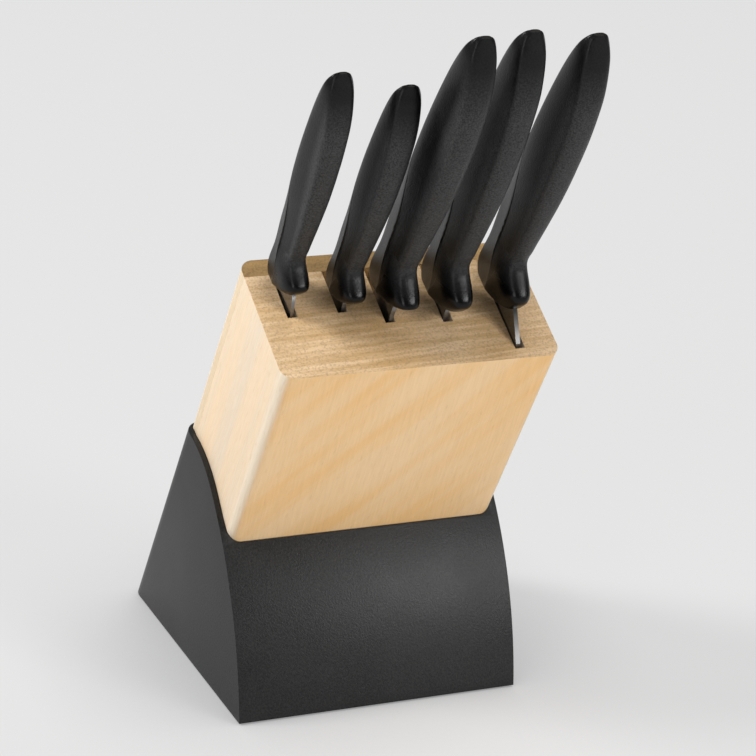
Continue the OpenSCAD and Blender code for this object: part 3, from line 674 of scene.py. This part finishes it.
core_plastic = handle_plastic(
    "hard core", dark=(0.002, 0.002, 0.0021), light=(0.046, 0.046, 0.0465), Specular_IOR_Level=0.20)
grip_plastic = handle_plastic(
    "soft grip", dark=(0.001, 0.001, 0.0011), light=(0.052, 0.052, 0.0525), Specular_IOR_Level=0.21)
for knife, (place, angles, scale, rise) in SEATS.items():
    seat = seat_matrix(place, angles)
    core, grip = [], []
    for row in range(LEAF_ROWS + 1):
        s = row * LEAF_END / LEAF_ROWS
        spread = leaf_spread(s)
        leaf = stations(90 - spread, 90 + spread, LEAF_POINTS)
        arc = stations(90 + spread, 450 - spread, GRIP_POINTS)
        if not grip:
            core.append((s, section(s, scale, rise, leaf + arc, [1.0] * len(leaf + arc))))
        if s < GRIP_START:
            continue
        leaf_shares = [1 - seam_dip(s, turn, spread) for turn in leaf]
        arc_shares = [1 - seam_dip(s, turn, spread) for turn in arc]
        inside = [CORE_SHARE] * len(arc)
        core.append((s, section(s, scale, rise, leaf + arc, leaf_shares + inside)))
        grip.append((s, section(s, scale, rise, arc + arc[::-1], arc_shares + inside)))
    # above the leaf the grip closes across the back, and its loops fold flat against that
    for row in range(BUTT_ROWS + 1):
        s = LEAF_END + max(BUTT_STEP, row * (LAST - LEAF_END) / BUTT_ROWS)
        outer = section(s, scale, rise, arc, [1.0] * len(arc))
        first, last = Vector(outer[0]), Vector(outer[-1])
        across = [tuple(last.lerp(first, j / (len(arc) - 1))) for j in range(len(arc))]
        grip.append((s, outer + across))
    for part, loops, plastic in (("core", core, core_plastic), ("grip", grip, grip_plastic)):
        piece = skin_piece(f"{knife}_moulded_{part}", loops, part == "grip")
        piece.data.transform(seat)
        piece.data.shade_smooth()
        piece.data.set_sharp_from_angle(angle=SKIN_SHARP)
        dress(piece, plastic, part + "_plastic", knife + "_knife", f"{knife}_{part}")

# ---------------------------------------------------------------------------
# Studio. A pale sweep of paper, a soft key box high on the left, two softer
# ones from the front and one overhead, and a camera to the left of the front
# that looks down on the block.
# ---------------------------------------------------------------------------

PAPER_HALF, PAPER_WHITE, PAPER_PAINTED_SHADOW = 6.0, (0.79, 0.79, 0.795), (0.27, 0.27, 0.275)
# how far the painted contact shadow reaches from the base, and the share of the paper's look that is its own
# white
CLOSE_BY, OWN_WHITE = 0.075, 0.72
paper_mesh = bpy.data.meshes.new("paper")
corners = [(x * PAPER_HALF, y * PAPER_HALF, 0) for x, y in ((-1, -1), (1, -1), (1, 1), (-1, 1))]
paper_mesh.from_pydata(corners, [], [(0, 1, 2, 3)])
paper = placed("paper", paper_mesh)
sweep = Finish("paper", Base_Color=(0.78, 0.78, 0.78, 1), Roughness=0.9, Specular_IOR_Level=0.0)
# under and beside the base, where the paper sees less of the room, its own glow is darkened: a painted
# contact shadow
open_sky = sweep.add("ShaderNodeAmbientOcclusion", {"samples": 8}, {"Distance": CLOSE_BY}, "AO")
glow_with_painted_shadow = sweep.blend(open_sky, PAPER_PAINTED_SHADOW, PAPER_WHITE)
glow_with_painted_shadow = sweep.add("ShaderNodeEmission", {}, {"Color": glow_with_painted_shadow}, "Emission")
seen = sweep.add("ShaderNodeLightPath", out="Is Camera Ray")
mirrored = sweep.add("ShaderNodeLightPath", out="Is Glossy Ray")
both = sweep.add("ShaderNodeMixShader", {}, {
    0: (seen + mirrored) * OWN_WHITE, 1: Wire(sweep, sweep.shader.outputs[0]), 2: glow_with_painted_shadow}, "Shader")
sweep.tree.links.new(both.socket, sweep.tree.nodes["Material Output"].inputs["Surface"])
paper_mesh.materials.append(sweep.material)


def soft_box(name, at, target, size, watts, colour=(1, 1, 1)):
    """A square-cornered lamp at one place, turned to light another."""
    light = bpy.data.lights.new(name, "AREA")
    light.shape, light.size, light.size_y = "RECTANGLE", size[0], size[1]
    light.energy, light.color = watts, colour
    lamp = placed(name, light)
    lamp.location = at
    lamp.rotation_euler = (Vector(target) - Vector(at)).to_track_quat("-Z", "Y").to_euler()


soft_box("key", at=(-4.0, 1.2, 3.5), target=(0, 0, 0.15), size=(1.5, 1.5), watts=232)
soft_box("front right", at=(2.3, -3.5, 1.9), target=(0, 0, 0.12), size=(1.7, 1.4), watts=88)
soft_box("front left", at=(-2.6, -2.2, 0.9), target=(0, 0, 0.12), size=(1.0, 1.2), watts=16)
soft_box("overhead", at=(1.4, 0.3, 3.5), target=(0.3, 0, 0.1), size=(2.4, 2.4), watts=27,
         colour=(1.0, 0.95, 0.87))

ROOM_GREY, ROOM_LIGHT = (0.80, 0.80, 0.80, 1), 0.24
world = bpy.data.worlds.new("studio")
scene.world = world
world.use_nodes = True
room = world.node_tree.nodes["Background"]
room.inputs["Color"].default_value = ROOM_GREY
room.inputs["Strength"].default_value = ROOM_LIGHT

AZIMUTH, ELEVATION, ROLL = math.radians(23.970), math.radians(19.960), math.radians(3.296)
CAMERA_PLACE, LENS, SENSOR = (-0.4120, -0.9416, 0.5020), 130.91, 36.0
camera = placed("camera", bpy.data.cameras.new("camera"))
camera.data.lens, camera.data.sensor_width = LENS, SENSOR
camera.matrix_world = (Matrix.Translation(CAMERA_PLACE)
                       @ Matrix.Rotation(-AZIMUTH, 4, "Z")
                       @ Matrix.Rotation(math.pi / 2 - ELEVATION, 4, "X")
                       @ Matrix.Rotation(ROLL, 4, "Z"))
scene.camera = camera
scene.view_settings.view_transform = "Standard"
